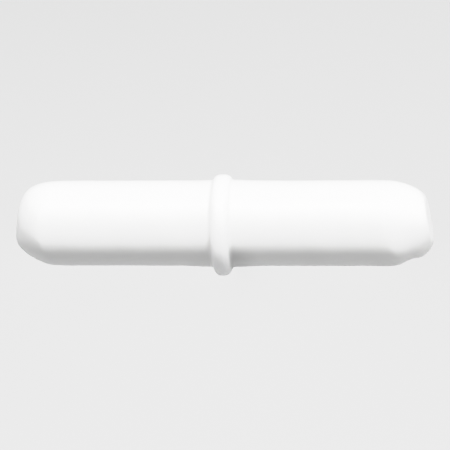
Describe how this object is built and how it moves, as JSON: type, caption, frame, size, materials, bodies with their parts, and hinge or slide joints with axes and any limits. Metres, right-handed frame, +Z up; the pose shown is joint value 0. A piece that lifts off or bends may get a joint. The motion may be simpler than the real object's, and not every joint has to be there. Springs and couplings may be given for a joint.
{
  "type": "magnetic stir bar",
  "caption": "Round stirring rod with rounded ends, a raised pivot ring round its middle and a rod magnet sealed in a white fluoropolymer jacket.",
  "frame": {"origin": "on the bar's axis, at the middle of the pivot ring", "axes": "+X along the bar, towards the end with the dent; +Z up; -Y towards the side that the ends' tips lean to"},
  "size_m": [0.04, 0.0098, 0.0098],
  "materials": {
    "jacket_ptfe": "satin, slightly translucent white",
    "magnet_alloy": "dark cast metal"
  },
  "bodies": {
    "root": {"jacket": "jacket_ptfe", "magnet": "magnet_alloy"}
  },
  "joints": []
}
